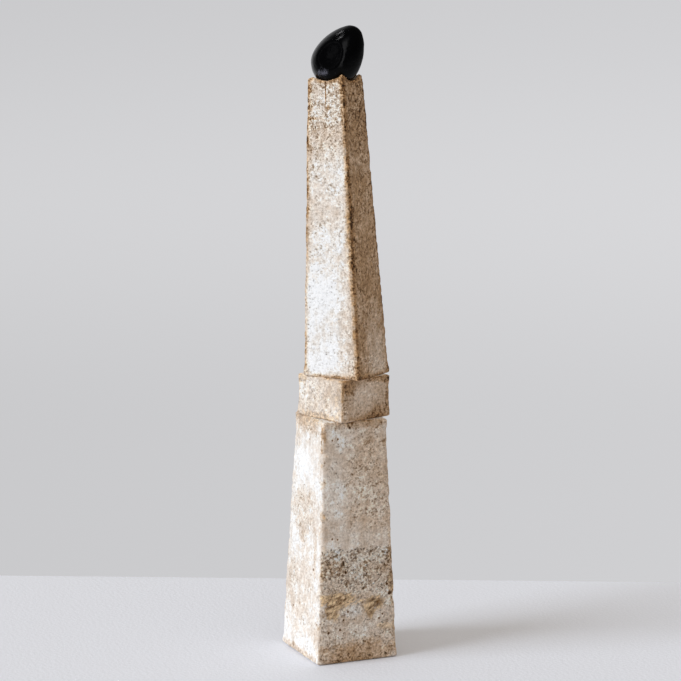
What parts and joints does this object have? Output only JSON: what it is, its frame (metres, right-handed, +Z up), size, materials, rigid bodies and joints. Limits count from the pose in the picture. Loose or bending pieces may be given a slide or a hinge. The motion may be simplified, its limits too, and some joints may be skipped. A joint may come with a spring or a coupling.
{
  "type": "stoneware obelisk sculpture",
  "caption": "Slender obelisk of rough white-slipped square blocks, each turned on the one below, with an egg-shaped black pebble lying in a bowl at its head.",
  "frame": {"origin": "middle of the base's underside, on the surface that it stands on", "axes": "+Z up along the stack; the base's faces look along X and Y, and the picture looks at its -X and -Y faces"},
  "size_m": [0.093, 0.0928, 0.6454],
  "materials": {
    "slipped_clay": "white slip over coarse brown fired clay, matt, pitted, toasted brown along the arrises",
    "black_stone": "black pebble, rubbed to a soft gloss"
  },
  "bodies": {
    "root": {"base_block": "slipped_clay", "collar_block": "slipped_clay", "shaft": "slipped_clay", "pebble": "black_stone"}
  },
  "joints": []
}
